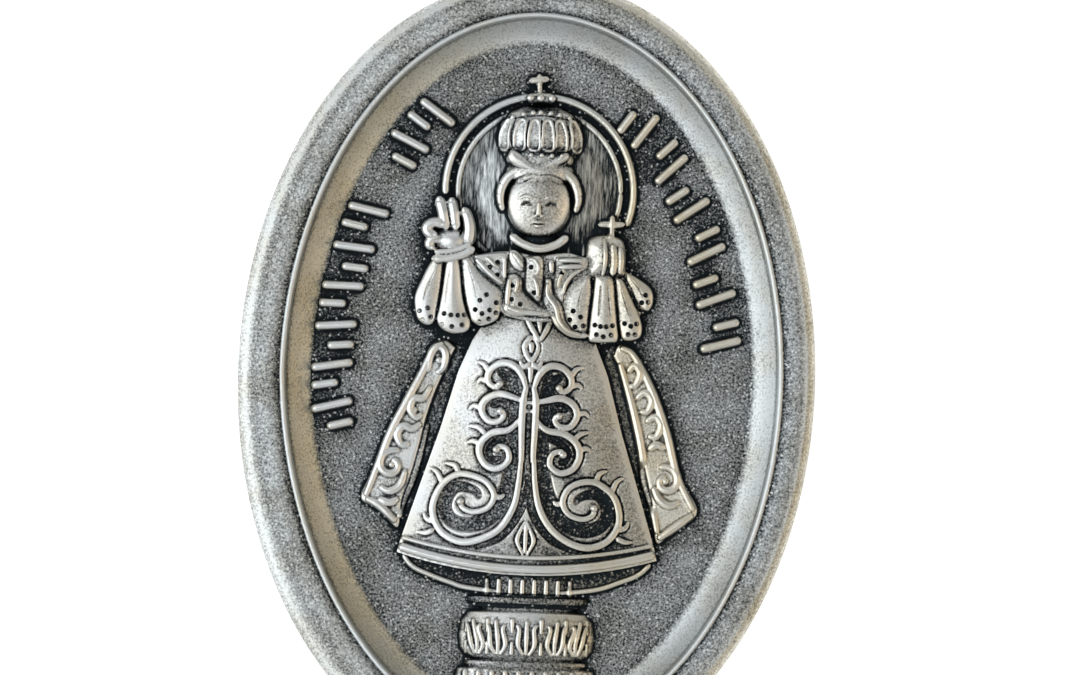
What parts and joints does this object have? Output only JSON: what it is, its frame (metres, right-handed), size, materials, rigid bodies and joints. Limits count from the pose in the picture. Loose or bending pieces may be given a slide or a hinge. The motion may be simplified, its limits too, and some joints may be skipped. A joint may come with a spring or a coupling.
{
  "type": "oval devotional medal",
  "caption": "Oval cast medal of a crowned child figure in low relief on a flat field, with a raised rim and a hanging eye at the top.",
  "frame": {"origin": "the middle of the oval, on the flat back that the medal lies on", "axes": "+X to the right of the figure as seen, +Y up the figure towards the hanging eye, +Z out of the face"},
  "size_m": [0.018, 0.0284, 0.0022],
  "materials": {
    "oxidised_silver": "antique silver plate, dark in the hollows and rubbed bright on the high points"
  },
  "bodies": {
    "root": {"medal": "oxidised_silver"}
  },
  "joints": []
}
